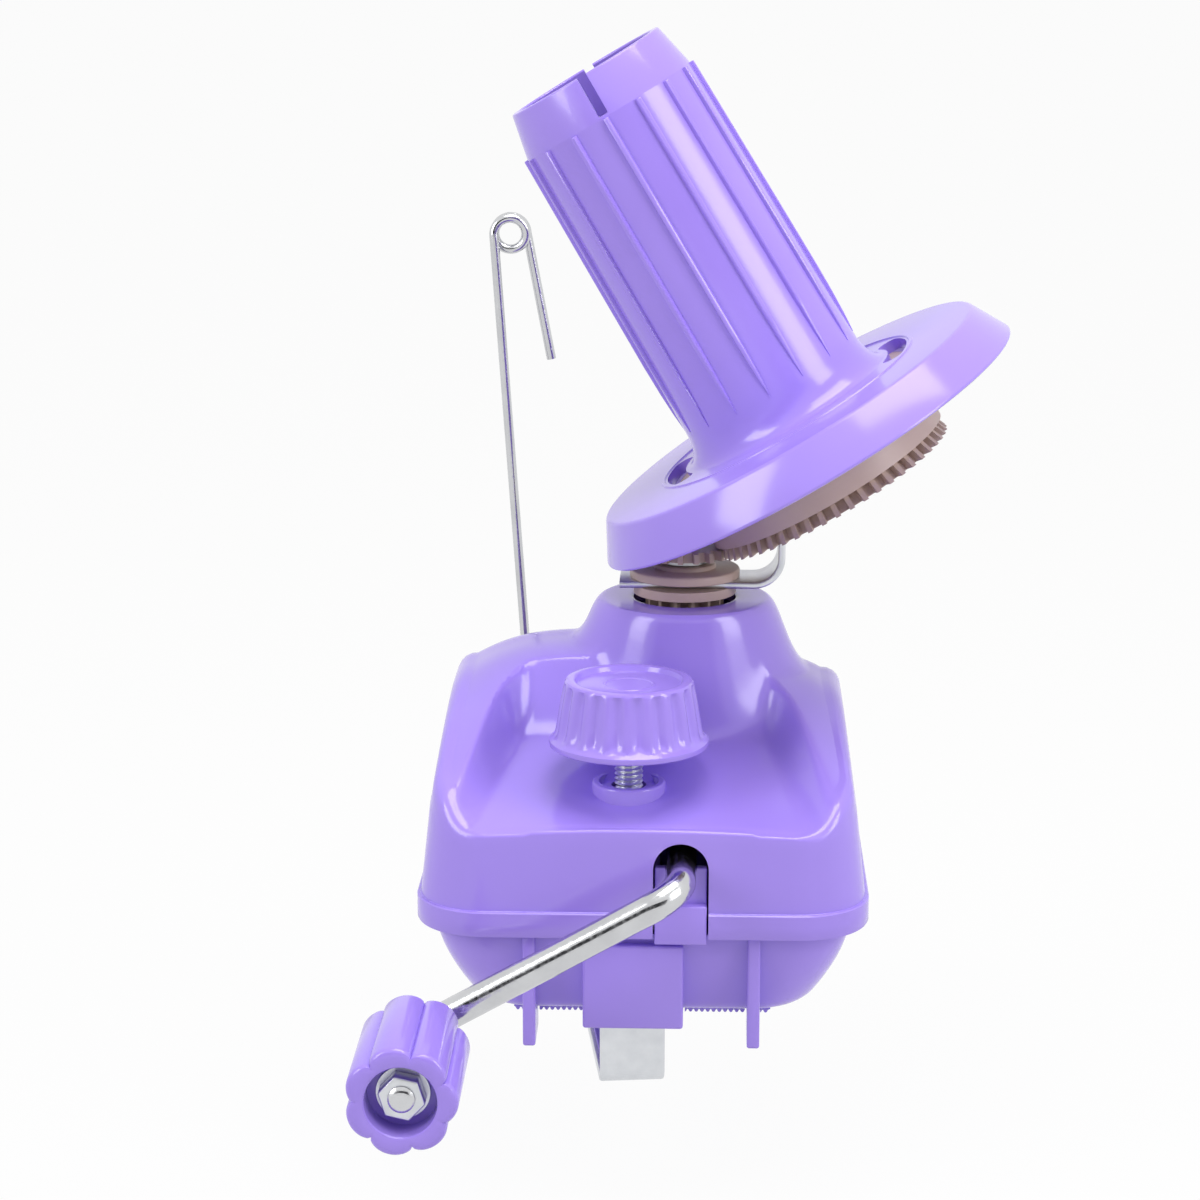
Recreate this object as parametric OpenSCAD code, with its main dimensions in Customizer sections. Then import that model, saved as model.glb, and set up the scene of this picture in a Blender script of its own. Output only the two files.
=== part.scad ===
// Hand-cranked yarn ball winder with a table clamp.
// Origin: on the table face under the base, below the middle of the body.
// +X is to the right of the person turning the crank, +Y is away from them, +Z is up.

/* [Body] */
// Width of the body, left to right
body_w = 92; // [84:1:112]
// Depth of the body, front to back
body_d = 92; // [88:1:112]
// Corner radius of the body in plan
corner_r = 14; // [8:1:18]
// Height of the lower base, table face to joint line
base_h = 20; // [18:0.5:26]
// How far the base draws in towards the table on each side
base_taper = 12; // [6:0.5:14]
// Height of the front wall above the joint line
front_h = 21.5; // [20:0.5:26]
// Height of the shoulders above the joint line
shoulder_h = 43; // [40:0.5:50]
// Height of the neck top above the joint line
neck_h = 58.2; // [57:0.1:70]
// Radius of the flat neck top
neck_r = 17.5; // [15:0.5:20]
// Wall thickness of the mouldings
wall = 2.2; // [1.6:0.1:2.6]
// Slope of the scooped front panel
scoop_slope = 18; // [12:1:19]
// Height of the raised band round the cover's lower edge
band_h = 5.5; // [4:0.5:7]

/* [Drive] */
// Spindle and crank line, to the right of the middle
spindle_x = 8; // [6:0.5:10]
// Spindle line, behind the middle
spindle_y = 12; // [10:0.5:14]
// Crank shaft height above the joint line
crank_h = 14.5; // [14:0.5:16]
// Diameter of the crank rod
rod_d = 6.2; // [5:0.1:6.6]
// Crank radius, shaft to handle pin
crank_r = 60; // [45:1:70]
// Crank arm's fall below the horizontal
crank_fall = 29.5; // [0:0.5:60]
// Inside-line bend radius of the crank rod
bend_r = 7; // [5:0.5:8]
// Teeth on the crank's face gear
drive_teeth = 46; // [42:2:46]
// Teeth on the pinion
pinion_teeth = 14; // [14:2:16]
// Tooth size, pitch diameter per tooth
gear_module = 1.06; // [1:0.01:1.08]
// Diameter of the fixed centre post
post_d = 6; // [5:0.1:7]

/* [Spool] */
// Lean of the spool from vertical
spool_tilt = 31; // [28:0.5:33]
// Height where the spool line crosses the spindle, above the neck top
cross_h = 76.5; // [74:0.5:80]
// Diameter of the flange
flange_d = 100; // [90:1:106]
// Flange's lower edge, from the crossing point down the spool line
flange_drop = 50.7; // [49:0.1:51.5]
// Height of the flange's sloping skirt
skirt_h = 9; // [7:0.5:10]
// Top of the tube, from the crossing point up the spool line
tube_top = 42; // [30:1:60]
// Tube's outer diameter at its foot
tube_foot_d = 41.6; // [38:0.2:44]
// Tube's outer diameter under the top band
tube_neck_d = 39.8; // [37:0.2:41]
// Tube's outer diameter at the rim
tube_rim_d = 35.5; // [33:0.2:37]
// Number of ribs along the tube
rib_count = 16; // [10:1:20]
// Diameter of the dish gear under the flange
dish_d = 56; // [55:0.5:58]
// Teeth on the dish gear
dish_teeth = 52; // [50:1:54]
// Teeth on the fixed sun gear
sun_teeth = 17; // [15:1:17]

/* [Clamp] */
// Clamp screw, from the middle, negative to the left
clamp_x = -3; // [-4:0.5:-2]
// Clamp screw, behind the front face
clamp_setback = 17; // [16:0.5:18]
// Diameter of the clamp screw
screw_d = 6; // [5:0.1:6.4]
// Diameter of the clamp knob's lip
knob_d = 33; // [28:0.5:34]
// Height of the clamp knob
knob_h = 14; // [10:0.5:16]
// Lift of the knob's lip above the joint line
knob_lift = 36.2; // [36:0.1:40]
// Gap between the table face and the jaw foot as drawn
jaw_gap = 13; // [8:0.5:20]
// Width of the jaw strip
jaw_w = 13.5; // [10:0.5:14]
// Thickness of the jaw strip
jaw_t = 1.8; // [1.4:0.1:2]
// Length of the jaw foot
jaw_foot = 40; // [30:1:50]
// Turn of the jaw about the screw, foot to the left
jaw_yaw = 7; // [0:1:8]

/* [Crank handle] */
// Diameter of the crank knob
handle_d = 22; // [18:0.5:26]
// Length of the crank knob
handle_l = 30; // [24:1:40]
// Lobes round the crank knob
handle_lobes = 7; // [5:1:9]

/* [Yarn guide] */
// Diameter of the guide wire
wire_d = 2.2; // [1.8:0.1:3]
// Guide pivot, left of the middle
guide_x = 29; // [24:1:30]
// Guide pivot height above the joint line
guide_h = 10; // [9:0.5:14]
// Guide wire's distance behind the body
guide_reach = 29; // [28:0.5:36]
// Height of the eye above the pivot
guide_rise = 119.5; // [90:0.5:150]
// Lean of the guide wire to the left
guide_lean = 4; // [3:0.5:8]
// Mean diameter of the eye
eye_d = 7.4; // [6:0.2:10]
// Length of the tail below the eye
tail_l = 31; // [15:1:40]

/* [Hidden] */
$fn = 64;
running = 0.05;
clear = 0.35;
over = 0.5;
seat = 0.02;

rim_z = base_h;
front_z = rim_z + front_h;
shoulder_z = rim_z + shoulder_h;
neck_z = rim_z + neck_h;
crank_z = rim_z + crank_h;
cross_z = neck_z + cross_h;
half_w = body_w / 2;
half_d = body_d / 2;
band_out = 0.8;
purple = "#9F7DEB";
beige = "#B9A79C";
steel = "#C9CCD0";
dark = "#4A4458";

// Cover outline: the shoulders and sides as levels below the shoulder height
side_lean = 4;
shoulder_in = 8.8;
ridge_in = 20;
shoulder_step = 5.5;
shoulder_round = 1;
ridge_rise = 4;
back_h = 26;
back_step = 6;
front_reach = [6, 16, 31, 46];
front_share = [0.3, 0.58, 0.92];
ridge_back = 26;
back_reach = 10;
scoop_back = spindle_y - neck_r;
scoop_front_w = 68;
scoop_back_w = 46;
scoop_x = -1;
neck_flare = 18;
neck_edge = 2;

// Gear train
rod_r = rod_d / 2;
post_r = post_d / 2;
pinion_r = gear_module * pinion_teeth / 2;
pinion_tip = pinion_r + gear_module;
pinion_root = pinion_r - 1.25 * gear_module;
drive_r = gear_module * drive_teeth / 2;
drive_face = 5.4;
drive_out = drive_r + drive_face / 2;
drive_in = drive_r - drive_face / 2;
tooth_w = 1.15;
tooth_taper = 0.55;
drive_tip_y = spindle_y - pinion_r + 0.8 * gear_module;
drive_root_y = spindle_y - pinion_tip - clear;
drive_disc = 3.5;
drive_hub_r = 9;
drive_hub_l = 6;
gear_pin_r = 1;
drive_front_y = drive_root_y - drive_disc - drive_hub_l;
shaft_end_y = drive_root_y + 1.5;
pinion_low = crank_z + drive_in - 1;

// Collar, bracket and post, stacked upwards from the neck
neck_hole_r = 11;
collar_z = neck_z + 1;
collar_low_r = 11.1;
collar_low_h = 2;
strip_t = 1.5;
strip_w = 13;
collar_top_r = 11.9;
collar_top_h = 2;
hub_r = 6.7;
hub_h = 1;
strip_z = collar_z + collar_low_h;
cap_z = strip_z + strip_t;
hub_top_z = cap_z + collar_top_h + hub_h;
strip_left = 14;
strip_right = 21.6;
clip_t = 0.9;
clip_z = hub_top_z + 0.15;

// Dish and sun: pitch cones that share the crossing point
dish_angle = atan2(sin(spool_tilt), cos(spool_tilt) + sun_teeth / dish_teeth);
sun_angle = spool_tilt - dish_angle;
dish_wall = 2.4;
dish_pitch_r = dish_d / 2 - 1.7;
cone_l = dish_pitch_r / sin(dish_angle);
sun_pitch_r = cone_l * sin(sun_angle);
sun_z = cross_z - cone_l * cos(sun_angle);
dish_pitch_drop = cone_l * cos(dish_angle);
flange_t = 2.4;
flange_top = -(flange_drop - skirt_h);
flange_low = flange_top - flange_t;
dish_low = -(dish_pitch_drop - 1.5);
ring_low = dish_low - 3;
bevel_depth = 0.85;
bevel_tooth_w = 1.1;
sun_t = 2.1;
sun_top_z = sun_z - 0.1;
post_top_z = sun_top_z + 1.2;
plate_top = ring_low + 0.5;
plate_end = 7;
dish_hub_r = 7.5;
dish_hub_low = plate_top + 0.7;
stud_r = 3;
stud_top = -12;
stud_head_r = 4.5;
stud_head_h = 1.8;
washer_r = 6;
stud_washer_t = 0.5;
spool_washer_t = 0.8;
screw_head_r = 3.4;
screw_head_h = 2.2;
spool_hub_r = 5.5;
spool_hub_top = stud_top - 1.5;
tube_wall = 1.8;
rib_low = flange_top + 9;
rib_high = tube_top - 16;
rib_proud = 0.9;
rib_w = 1.6;
foot_flare = 3.5;
flange_flat_r = flange_d / 2 - 5;

// Clamp stack
clamp_y = -half_d + clamp_setback;
screw_r = screw_d / 2;
floor_at_screw = front_z + clamp_setback * tan(scoop_slope);
boss_r = 7.2;
boss_h = 1.6;
boss_wall = 1.4;
boss_top = floor_at_screw + boss_h;
knob_z = rim_z + knob_lift;
leg_y = clamp_y - 9.6;
tab_z = base_h - 6;
tab_back = 7;
pad_setback = 14;
jaw_pad_t = 1.2;
column_w = 20.6;
column_x = 1.3;
column_front = -half_d + 1;
column_inner_front = -half_d + wall + clear;
column_back = clamp_y + 10;
column_wall = 2.4;
column_h = tab_z + 14;
nut_r = 5.2;
nut_h = 5;
tower_w = 13.4;
nut_z = column_h + 3;
screw_low = tab_z - 2.6;

// Crank handle stack along the handle pin
arm_y = -half_d - 14;
pin_r = 2.6;
pin_start = arm_y - bend_r;
handle_back = pin_start - 0.6;
handle_front = handle_back - handle_l;
recess_d = 14;
recess_l = 6.5;
recess_y = handle_front + recess_l;
nut_l = 3.5;
washer_t = 0.8;

// Yarn guide
wire_r = wire_d / 2;
guide_y = half_d + guide_reach;
guide_z = rim_z + guide_h;
guide_bend = 5;
bush_r = 3;
bush_flange_r = 4.6;
bush_flange_t = 1.8;
bush_in = 9;
tail_lean = 6.7;
eye_lap = 3;

// Fasteners and feet
boss_at = 29;
boss_post_r = 4.2;
fix_r = 1.5;
fix_head_r = 2.8;
fix_head_h = 1.8;
fix_l = 24;
pad_t = 1.8;
pad_rib = 0.7;
pad_pitch = 3.2;
fin_x = 23;
fin_t = 2.6;
fin_drop = 4;
fin_l = 12;
saddle_w = 10.6;
slot_w = 11.3;
saddle_y = -24;
saddle_t = 4;
clip_y = saddle_y + saddle_t + 0.3;

// Rounded rectangle in plan
module rounded_plan(w, d, r) {
    square([w - 2 * r, d], center = true);
    square([w, d - 2 * r], center = true);
    for (sx = [-1, 1], sy = [-1, 1])
        translate([sx * (w / 2 - r), sy * (d / 2 - r)]) circle(r);
}

// A profile drawn in X and Z, swept along Y
module along_y(l) rotate([90, 0, 0]) linear_extrude(l, center = true) children();

// A profile drawn in Y and Z, swept along X
module along_x(l) rotate([90, 0, 90]) linear_extrude(l, center = true) children();

// Flat ring or disc standing on z
module ring(r, h, z, bore = 0) {
    translate([0, 0, z]) difference() {
        cylinder(r = r, h = h);
        if (bore > 0) translate([0, 0, -over]) cylinder(r = bore, h = h + 2 * over);
    }
}

// Cross-shaped driver slot, centred on the face that it is cut into
module cross_slot(l, w, depth) {
    cube([l, w, 2 * depth], center = true);
    cube([w, l, 2 * depth], center = true);
}

module on_spindle() translate([spindle_x, spindle_y, 0]) children();
module on_spool_line() translate([spindle_x, spindle_y, cross_z]) rotate([0, -spool_tilt, 0]) children();
module on_clamp() translate([clamp_x, clamp_y, 0]) children();

// Crank frame: local X along the arm, Y along the shaft
module on_crank() translate([spindle_x, 0, crank_z]) rotate([0, 180 - crank_fall, 0]) children();

// Cylinder along Y from one place to another, in the frame it is called in
module rod_y(r, y0, y1, x = 0) translate([x, y0, 0]) rotate([-90, 0, 0]) cylinder(r = r, h = y1 - y0);

// Front outline of the cover, drawn inside the outer form by t
module front_outline(t) {
    w = half_w - t;
    top = shoulder_z - t;
    polygon([
        [-w, rim_z - over], [-w + side_lean, top - shoulder_step],
        [-w + shoulder_in, top - shoulder_round], [-w + ridge_in, top + ridge_rise],
        [w - ridge_in, top + ridge_rise], [w - shoulder_in, top - shoulder_round],
        [w - side_lean, top - shoulder_step], [w, rim_z - over]
    ]);
}

// Side outline of the cover: low front wall, rising shoulders, sloping back
module side_outline(t) {
    d = half_d - t;
    rise = shoulder_z - front_z;
    ridge = shoulder_z + ridge_rise - t;
    polygon(concat(
        [[-d, rim_z - over], [-d, front_z - t]],
        [for (i = [0 : 2]) [-d + front_reach[i], front_z + front_share[i] * rise - t]],
        [[-d + front_reach[3], ridge], [d - ridge_back, ridge]],
        [[d - back_reach, shoulder_z - back_step - t], [d, rim_z + back_h - t], [d, rim_z - over]]
    ));
}

// Neck with a concave flare into the shoulders
module neck(t) {
    r = neck_r - t;
    fall = neck_h - front_h;
    on_spindle() rotate_extrude() polygon(concat(
        [[0, rim_z], [0, neck_z - t]],
        [for (a = [0 : 15 : 90]) [r + neck_flare * (1 - cos(a)), neck_z - t - fall * sin(a)]],
        [[r + neck_flare, rim_z]]
    ));
}

// Scooped panel in front of the neck
module scoop(t) {
    reach = half_d + scoop_back + t;
    tall = neck_h;
    intersection() {
        translate([scoop_x, 0, 0]) linear_extrude(neck_z + over) polygon([
            [-scoop_front_w / 2 - t, -half_d - over], [scoop_front_w / 2 + t, -half_d - over],
            [scoop_back_w / 2 + t, scoop_back + t], [-scoop_back_w / 2 - t, scoop_back + t]
        ]);
        translate([0, -half_d, front_z - t]) rotate([scoop_slope, 0, 0])
            translate([-half_w, -half_d, 0]) cube([body_w, half_d + 1.4 * reach, tall]);
    }
}

// Outer form of the cover, or the same form drawn in by t
module cover_form(t) {
    difference() {
        union() {
            intersection() {
                linear_extrude(neck_z) rounded_plan(body_w - 2 * t, body_d - 2 * t, corner_r - t);
                along_y(body_d) front_outline(t);
                along_x(body_w) side_outline(t);
                translate([-half_w, -half_d, rim_z]) cube([body_w, body_d, neck_h]);
            }
            intersection() {
                neck(t);
                linear_extrude(neck_z) rounded_plan(body_w - 2 * t, body_d - 2 * t, corner_r - t);
            }
        }
        difference() {
            scoop(t);
            on_spindle() cylinder(r = neck_r + neck_edge - t, h = neck_z + over);
        }
    }
}

module cover_bosses() {
    for (sx = [-1, 1], sy = [-1, 1])
        translate([sx * boss_at, sy * boss_at, rim_z]) cylinder(r = boss_post_r, h = shoulder_h);
    on_clamp() translate([0, 0, floor_at_screw - 3 * wall]) cylinder(r = boss_r, h = 3 * wall);
    translate([-guide_x, 0, guide_z]) rod_y(bush_r + wall, half_d - bush_in, half_d - over);
}

module upper_cover() {
    color(purple) difference() {
        union() {
            difference() {
                union() {
                    cover_form(0);
                    translate([0, 0, rim_z]) linear_extrude(band_h)
                        rounded_plan(body_w + 2 * band_out, body_d + 2 * band_out, corner_r + band_out);
                }
                cover_form(wall);
            }
            intersection() {
                cover_form(0);
                cover_bosses();
            }
            on_clamp() ring(boss_r, boss_h + wall, floor_at_screw - wall);
        }
        on_spindle() translate([0, 0, neck_z - 3 * wall]) cylinder(r = neck_hole_r, h = 4 * wall);
        on_clamp() translate([0, 0, rim_z]) cylinder(r = screw_r + clear, h = neck_h);
        on_clamp() translate([0, 0, boss_top - 1]) cylinder(r = boss_r - boss_wall, h = 1 + over);
        translate([spindle_x, 0, crank_z]) rod_y(slot_w / 2, -half_d - 2, -half_d + 2 * wall);
        translate([spindle_x - slot_w / 2, -half_d - 2, rim_z - over])
            cube([slot_w, 2 + 2 * wall, crank_h + over]);
        for (sx = [-1, 1], sy = [-1, 1])
            translate([sx * boss_at, sy * boss_at, rim_z - over]) cylinder(r = fix_r + seat, h = 12);
        translate([-guide_x, 0, guide_z]) rod_y(bush_r + seat, half_d - bush_in - wall, half_d + over);
    }
}

// Base outline on one side view: straight rim, then drawn in to the table
module base_outline(half, t) {
    h = half - 1 - t;
    polygon([
        [-h + base_taper, pad_t + t], [-h + 0.62 * base_taper, 0.32 * base_h + t],
        [-h + 0.26 * base_taper, 0.68 * base_h], [-h, base_h + over],
        [h, base_h + over], [h - 0.26 * base_taper, 0.68 * base_h],
        [h - 0.62 * base_taper, 0.32 * base_h + t], [h - base_taper, pad_t + t]
    ]);
}

module base_form(t) {
    intersection() {
        linear_extrude(base_h + (t > 0 ? over : 0))
            rounded_plan(body_w - 2 - 2 * t, body_d - 2 - 2 * t, corner_r - t);
        along_y(body_d) base_outline(half_w, t);
        along_x(body_w) base_outline(half_d, t);
    }
}

module clamp_column() {
    on_clamp() {
        translate([column_x - column_w / 2, column_front - clamp_y, 0])
            cube([column_w, column_back - column_front, rim_z]);
        translate([column_x - column_w / 2, column_inner_front - clamp_y, 0])
            cube([column_w, column_back - column_inner_front, column_h]);
        translate([-tower_w / 2, -tower_w / 2, 0]) cube([tower_w, tower_w, nut_z + nut_h]);
    }
}

module column_hollow() {
    room = jaw_w + 2 * clear;
    on_clamp() {
        rotate([0, 0, jaw_yaw]) translate([-room / 2, leg_y - clear - clamp_y, -over])
            cube([room, column_back - column_wall - leg_y + clear, column_h - column_wall + over]);
        cylinder(r = screw_r + clear, h = nut_z + nut_h + over);
        translate([0, 0, nut_z]) cylinder(r = nut_r + seat, h = nut_h + over, $fn = 6);
    }
}

module saddles() {
    translate([spindle_x - saddle_w / 2, -half_d + 0.8, pad_t + wall])
        cube([saddle_w, 3.2, crank_z - pad_t - wall]);
    translate([spindle_x - saddle_w / 2, saddle_y, pad_t + wall / 2])
        cube([saddle_w, saddle_t, crank_z - pad_t - wall / 2]);
}

module base_ribs() {
    on_spindle() translate([0, 0, pad_t + wall / 2]) cylinder(r = post_r + 3, h = 16);
    for (sx = [-1, 1], sy = [-1, 1])
        translate([sx * boss_at, sy * boss_at, pad_t + wall / 2])
            cylinder(r = boss_post_r, h = base_h - pad_t - wall / 2);
}

module fins() {
    for (sx = [-1, 1])
        translate([sx * fin_x - fin_t / 2, -half_d + 1, -fin_drop])
            cube([fin_t, fin_l, base_h + fin_drop - wall]);
}

module lower_base() {
    color(purple) difference() {
        union() {
            difference() {
                base_form(0);
                base_form(wall);
            }
            fins();
            clamp_column();
            saddles();
            base_ribs();
        }
        column_hollow();
        translate([spindle_x, 0, crank_z]) rod_y(rod_r + running, -half_d, drive_front_y);
        on_spindle() translate([0, 0, pad_t + wall]) cylinder(r = post_r + seat, h = base_h);
        for (sx = [-1, 1], sy = [-1, 1]) translate([sx * boss_at, sy * boss_at, 0]) {
            cylinder(r = fix_r + clear, h = base_h + over);
            cylinder(r = fix_head_r + clear, h = pad_t + fix_head_h + clear);
        }
    }
}

// Ribbed rubber sheet that stands on the table
module grip_pad() {
    w = body_w - 2 - 2 * base_taper;
    back = half_d - 1 - base_taper;
    front = -back;
    n = floor(w / pad_pitch / 2);
    color(dark) difference() {
        union() {
            translate([-w / 2, front, pad_rib]) cube([w, back - front, pad_t - pad_rib]);
            for (i = [-n : n])
                translate([i * pad_pitch - pad_pitch / 4, front, 0])
                    cube([pad_pitch / 2, back - front, pad_t]);
        }
        for (sx = [-1, 1], sy = [-1, 1])
            translate([sx * boss_at, sy * boss_at, 0])
                ring(fix_head_r + 2 * clear, pad_t + 2 * over, -over);
        translate([clamp_x + column_x - column_w / 2 - clear, front - over, -over])
            cube([column_w + 2 * clear, column_back - front + clear + over, pad_t + 2 * over]);
        for (sx = [-1, 1]) translate([sx * fin_x - fin_t / 2 - clear, front - over, -over])
            cube([fin_t + 2 * clear, fin_l - half_d + 1 - front + clear + over, pad_t + 2 * over]);
    }
}

module cover_screws() {
    color(steel) for (sx = [-1, 1], sy = [-1, 1])
        translate([sx * boss_at, sy * boss_at, pad_t]) difference() {
        union() {
            translate([0, 0, clear]) cylinder(r = fix_head_r, h = fix_head_h);
            translate([0, 0, clear]) cylinder(r = fix_r, h = fix_l);
        }
        translate([0, 0, clear]) cross_slot(2 * fix_head_r - 1.6, 0.6, 0.75);
    }
}

module guide_bush() {
    color(dark) translate([-guide_x, 0, guide_z]) difference() {
        union() {
            rod_y(bush_r, half_d - bush_in, half_d);
            rod_y(bush_flange_r, half_d, half_d + bush_flange_t);
        }
        rod_y(wire_r + running, half_d - bush_in - over, half_d + bush_flange_t + over);
    }
}

module clamp_nut() {
    color(steel) on_clamp() translate([0, 0, nut_z]) difference() {
        cylinder(r = nut_r, h = nut_h, $fn = 6);
        translate([0, 0, -over]) cylinder(r = screw_r + running, h = nut_h + 2 * over);
    }
}

module centre_post() {
    low = pad_t + wall;
    color(steel) on_spindle() ring(post_r, post_top_z - low, low);
}

// Bar teeth round a cone whose point is the crossing point
module bevel(n, pitch_r, pitch_z, angle, low, high, phase) {
    slope = tan(angle);
    depth = bevel_depth / cos(angle);
    r_low = pitch_r + (pitch_z - low) * slope;
    r_high = pitch_r + (pitch_z - high) * slope;
    translate([0, 0, low]) cylinder(r1 = r_low - depth, r2 = r_high - depth, h = high - low);
    intersection() {
        translate([0, 0, low]) cylinder(r1 = r_low + depth, r2 = r_high + depth, h = high - low);
        for (i = [0 : n - 1]) rotate([0, 0, phase + i * 360 / n])
            translate([pitch_r - 2.5, -bevel_tooth_w / 2, low]) cube([5, bevel_tooth_w, high - low]);
    }
}

// Fixed on the post: the dish rolls round it
module sun_gear() {
    color(beige) on_spindle() difference() {
        bevel(sun_teeth, sun_pitch_r, sun_z, sun_angle, sun_top_z - sun_t, sun_top_z, 180 / sun_teeth);
        translate([0, 0, sun_top_z - sun_t - over]) cylinder(r = post_r + seat, h = sun_t + 2 * over);
    }
}

module post_clip() {
    color(steel) on_spindle() difference() {
        ring(post_r + 2, clip_t, clip_z, post_r + seat);
        translate([post_r - 0.6, -1.6, clip_z - over]) cube([4, 3.2, clip_t + 2 * over]);
    }
}

module crank_rod() {
    shaft_front = arm_y + bend_r;
    color(steel) on_crank() {
        rod_y(rod_r, shaft_front, shaft_end_y);
        translate([bend_r, shaft_front, 0]) rotate([0, 0, 180])
            rotate_extrude(angle = 90) translate([bend_r, 0]) circle(rod_r);
        translate([bend_r, arm_y, 0]) rotate([0, 90, 0]) cylinder(r = rod_r, h = crank_r - 2 * bend_r);
        translate([crank_r - bend_r, pin_start, 0])
            rotate_extrude(angle = 90) translate([bend_r, 0]) circle(rod_r);
        rod_y(pin_r, handle_front + 1, pin_start + over, crank_r);
    }
}

// Crown gear: radial teeth on its back face drive the pinion
module drive_gear() {
    height = drive_tip_y - drive_root_y;
    color(beige) translate([spindle_x, drive_root_y, crank_z]) rotate([90, 0, 0]) difference() {
        union() {
            cylinder(r = drive_out, h = drive_disc);
            cylinder(r = drive_hub_r, h = drive_disc + drive_hub_l);
            for (i = [0 : drive_teeth - 1]) rotate([0, 0, 90 + i * 360 / drive_teeth])
                translate([drive_in, 0, 0]) rotate([90, 0, 90]) linear_extrude(drive_face - over) polygon([
                    [-tooth_w / 2, over], [tooth_w / 2, over],
                    [tooth_w * tooth_taper / 2, -height], [-tooth_w * tooth_taper / 2, -height]
                ]);
        }
        translate([0, 0, -over]) cylinder(r = rod_r + seat, h = drive_disc + drive_hub_l + 2 * over);
        translate([0, 0, drive_disc + drive_hub_l / 2]) rotate([90, 0, 0])
            cylinder(r = gear_pin_r + seat, h = 3 * drive_hub_r, center = true);
    }
}

module gear_pin() {
    bore = rod_r + seat;
    color(steel) translate([spindle_x, drive_root_y - drive_disc - drive_hub_l / 2, crank_z])
        for (side = [-1, 1]) translate([0, 0, side * (bore + drive_hub_r) / 2])
            cylinder(r = gear_pin_r, h = drive_hub_r - bore, center = true);
}

module shaft_clip() {
    color(steel) translate([spindle_x, 0, crank_z]) difference() {
        rod_y(rod_r + 2.2, clip_y, clip_y + 1);
        rod_y(rod_r + seat, clip_y - over, clip_y + 1 + over);
    }
}

module handle_washer() {
    color(steel) on_crank() difference() {
        rod_y(5.2, recess_y - washer_t - 0.15, recess_y - 0.15, crank_r);
        rod_y(pin_r + seat, recess_y - 2, recess_y + 1, crank_r);
    }
}

module handle_nut() {
    low = recess_y - washer_t - 0.15 - nut_l;
    color(steel) on_crank() difference() {
        translate([crank_r, low, 0]) rotate([-90, 0, 0]) cylinder(r = 4.7, h = nut_l, $fn = 6);
        rod_y(pin_r + seat, low - over, low + nut_l + over, crank_r);
    }
}

// Lobed grip with a round recess for the nut
module crank_knob() {
    lobe_r = handle_d * 0.155;
    core_r = handle_d / 2 - lobe_r * 0.9;
    color(purple) on_crank() difference() {
        translate([crank_r, handle_front, 0]) rotate([-90, 0, 0]) linear_extrude(handle_l) {
            circle(core_r);
            for (i = [0 : handle_lobes - 1]) rotate(i * 360 / handle_lobes)
                translate([handle_d / 2 - lobe_r, 0]) circle(lobe_r);
        }
        rod_y(pin_r + running, handle_front - over, handle_back + over, crank_r);
        rod_y(recess_d / 2, handle_front - over, recess_y, crank_r);
    }
}

// Long pinion with its lower collar disc
module pinion() {
    n = pinion_teeth;
    half_root = 360 / n * 0.22;
    half_tip = 360 / n * 0.1;
    color(beige) on_spindle() difference() {
        union() {
            translate([0, 0, pinion_low]) linear_extrude(collar_z - pinion_low) polygon([
                for (i = [0 : n - 1], p = [
                    [pinion_root, -half_root], [pinion_tip, -half_tip],
                    [pinion_tip, half_tip], [pinion_root, half_root]
                ]) let (a = i * 360 / n + p[1]) [p[0] * cos(a), p[0] * sin(a)]
            ]);
            translate([0, 0, collar_z]) cylinder(r = collar_low_r, h = collar_low_h);
        }
        translate([0, 0, pinion_low - over]) cylinder(r = post_r + running, h = neck_h);
    }
}

// A place on the spool line's own X and Z, as X from the spindle and height
function leaning(x, z) = [
    x * cos(spool_tilt) - z * sin(spool_tilt),
    cross_z + x * sin(spool_tilt) + z * cos(spool_tilt)
];

// Height at x of a plane square to the spool line
function leaning_height(x, z) = leaning((x + z * sin(spool_tilt)) / cos(spool_tilt), z)[1];

// Bent steel strip that carries the leaning stud
module bracket() {
    inner = strip_right - strip_t;
    plate_low = plate_top - strip_t;
    color(steel) difference() {
        on_spindle() along_y(strip_w) polygon([
            [-strip_left, strip_z], [strip_right, strip_z],
            [strip_right, leaning_height(strip_right, plate_low)],
            leaning(plate_end, plate_low), leaning(plate_end, plate_top),
            [inner, leaning_height(inner, plate_top)],
            [inner, strip_z + strip_t], [-strip_left, strip_z + strip_t]
        ]);
        on_spindle() translate([0, 0, strip_z - over]) cylinder(r = post_r + clear, h = strip_t + 2 * over);
        on_spool_line() translate([0, 0, plate_low - over])
            cylinder(r = stud_r + seat, h = strip_t + 2 * over);
    }
}

module collar_cap() {
    color(beige) on_spindle() difference() {
        union() {
            translate([0, 0, cap_z]) cylinder(r = collar_top_r, h = collar_top_h);
            translate([0, 0, cap_z]) cylinder(r = hub_r, h = collar_top_h + hub_h);
        }
        translate([0, 0, cap_z - over]) cylinder(r = post_r + running, h = collar_top_h + hub_h + 2 * over);
    }
}

module spool_stud() {
    color(steel) on_spool_line() {
        translate([0, 0, plate_top - strip_t - stud_head_h]) cylinder(r = stud_head_r, h = stud_head_h);
        translate([0, 0, plate_top - strip_t]) cylinder(r = stud_r, h = stud_top - plate_top + strip_t);
    }
}

module stud_washer() color(steel) on_spool_line() ring(washer_r, stud_washer_t, plate_top, stud_r + seat);

module spool_washer() color(steel) on_spool_line() ring(washer_r, spool_washer_t, stud_top, fix_r);

module spool_screw() {
    head_z = stud_top + spool_washer_t;
    color(steel) on_spool_line() difference() {
        ring(screw_head_r, screw_head_h, head_z);
        translate([0, 0, head_z + screw_head_h]) cross_slot(2 * screw_head_r - 1, 0.8, 1);
    }
}

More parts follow.
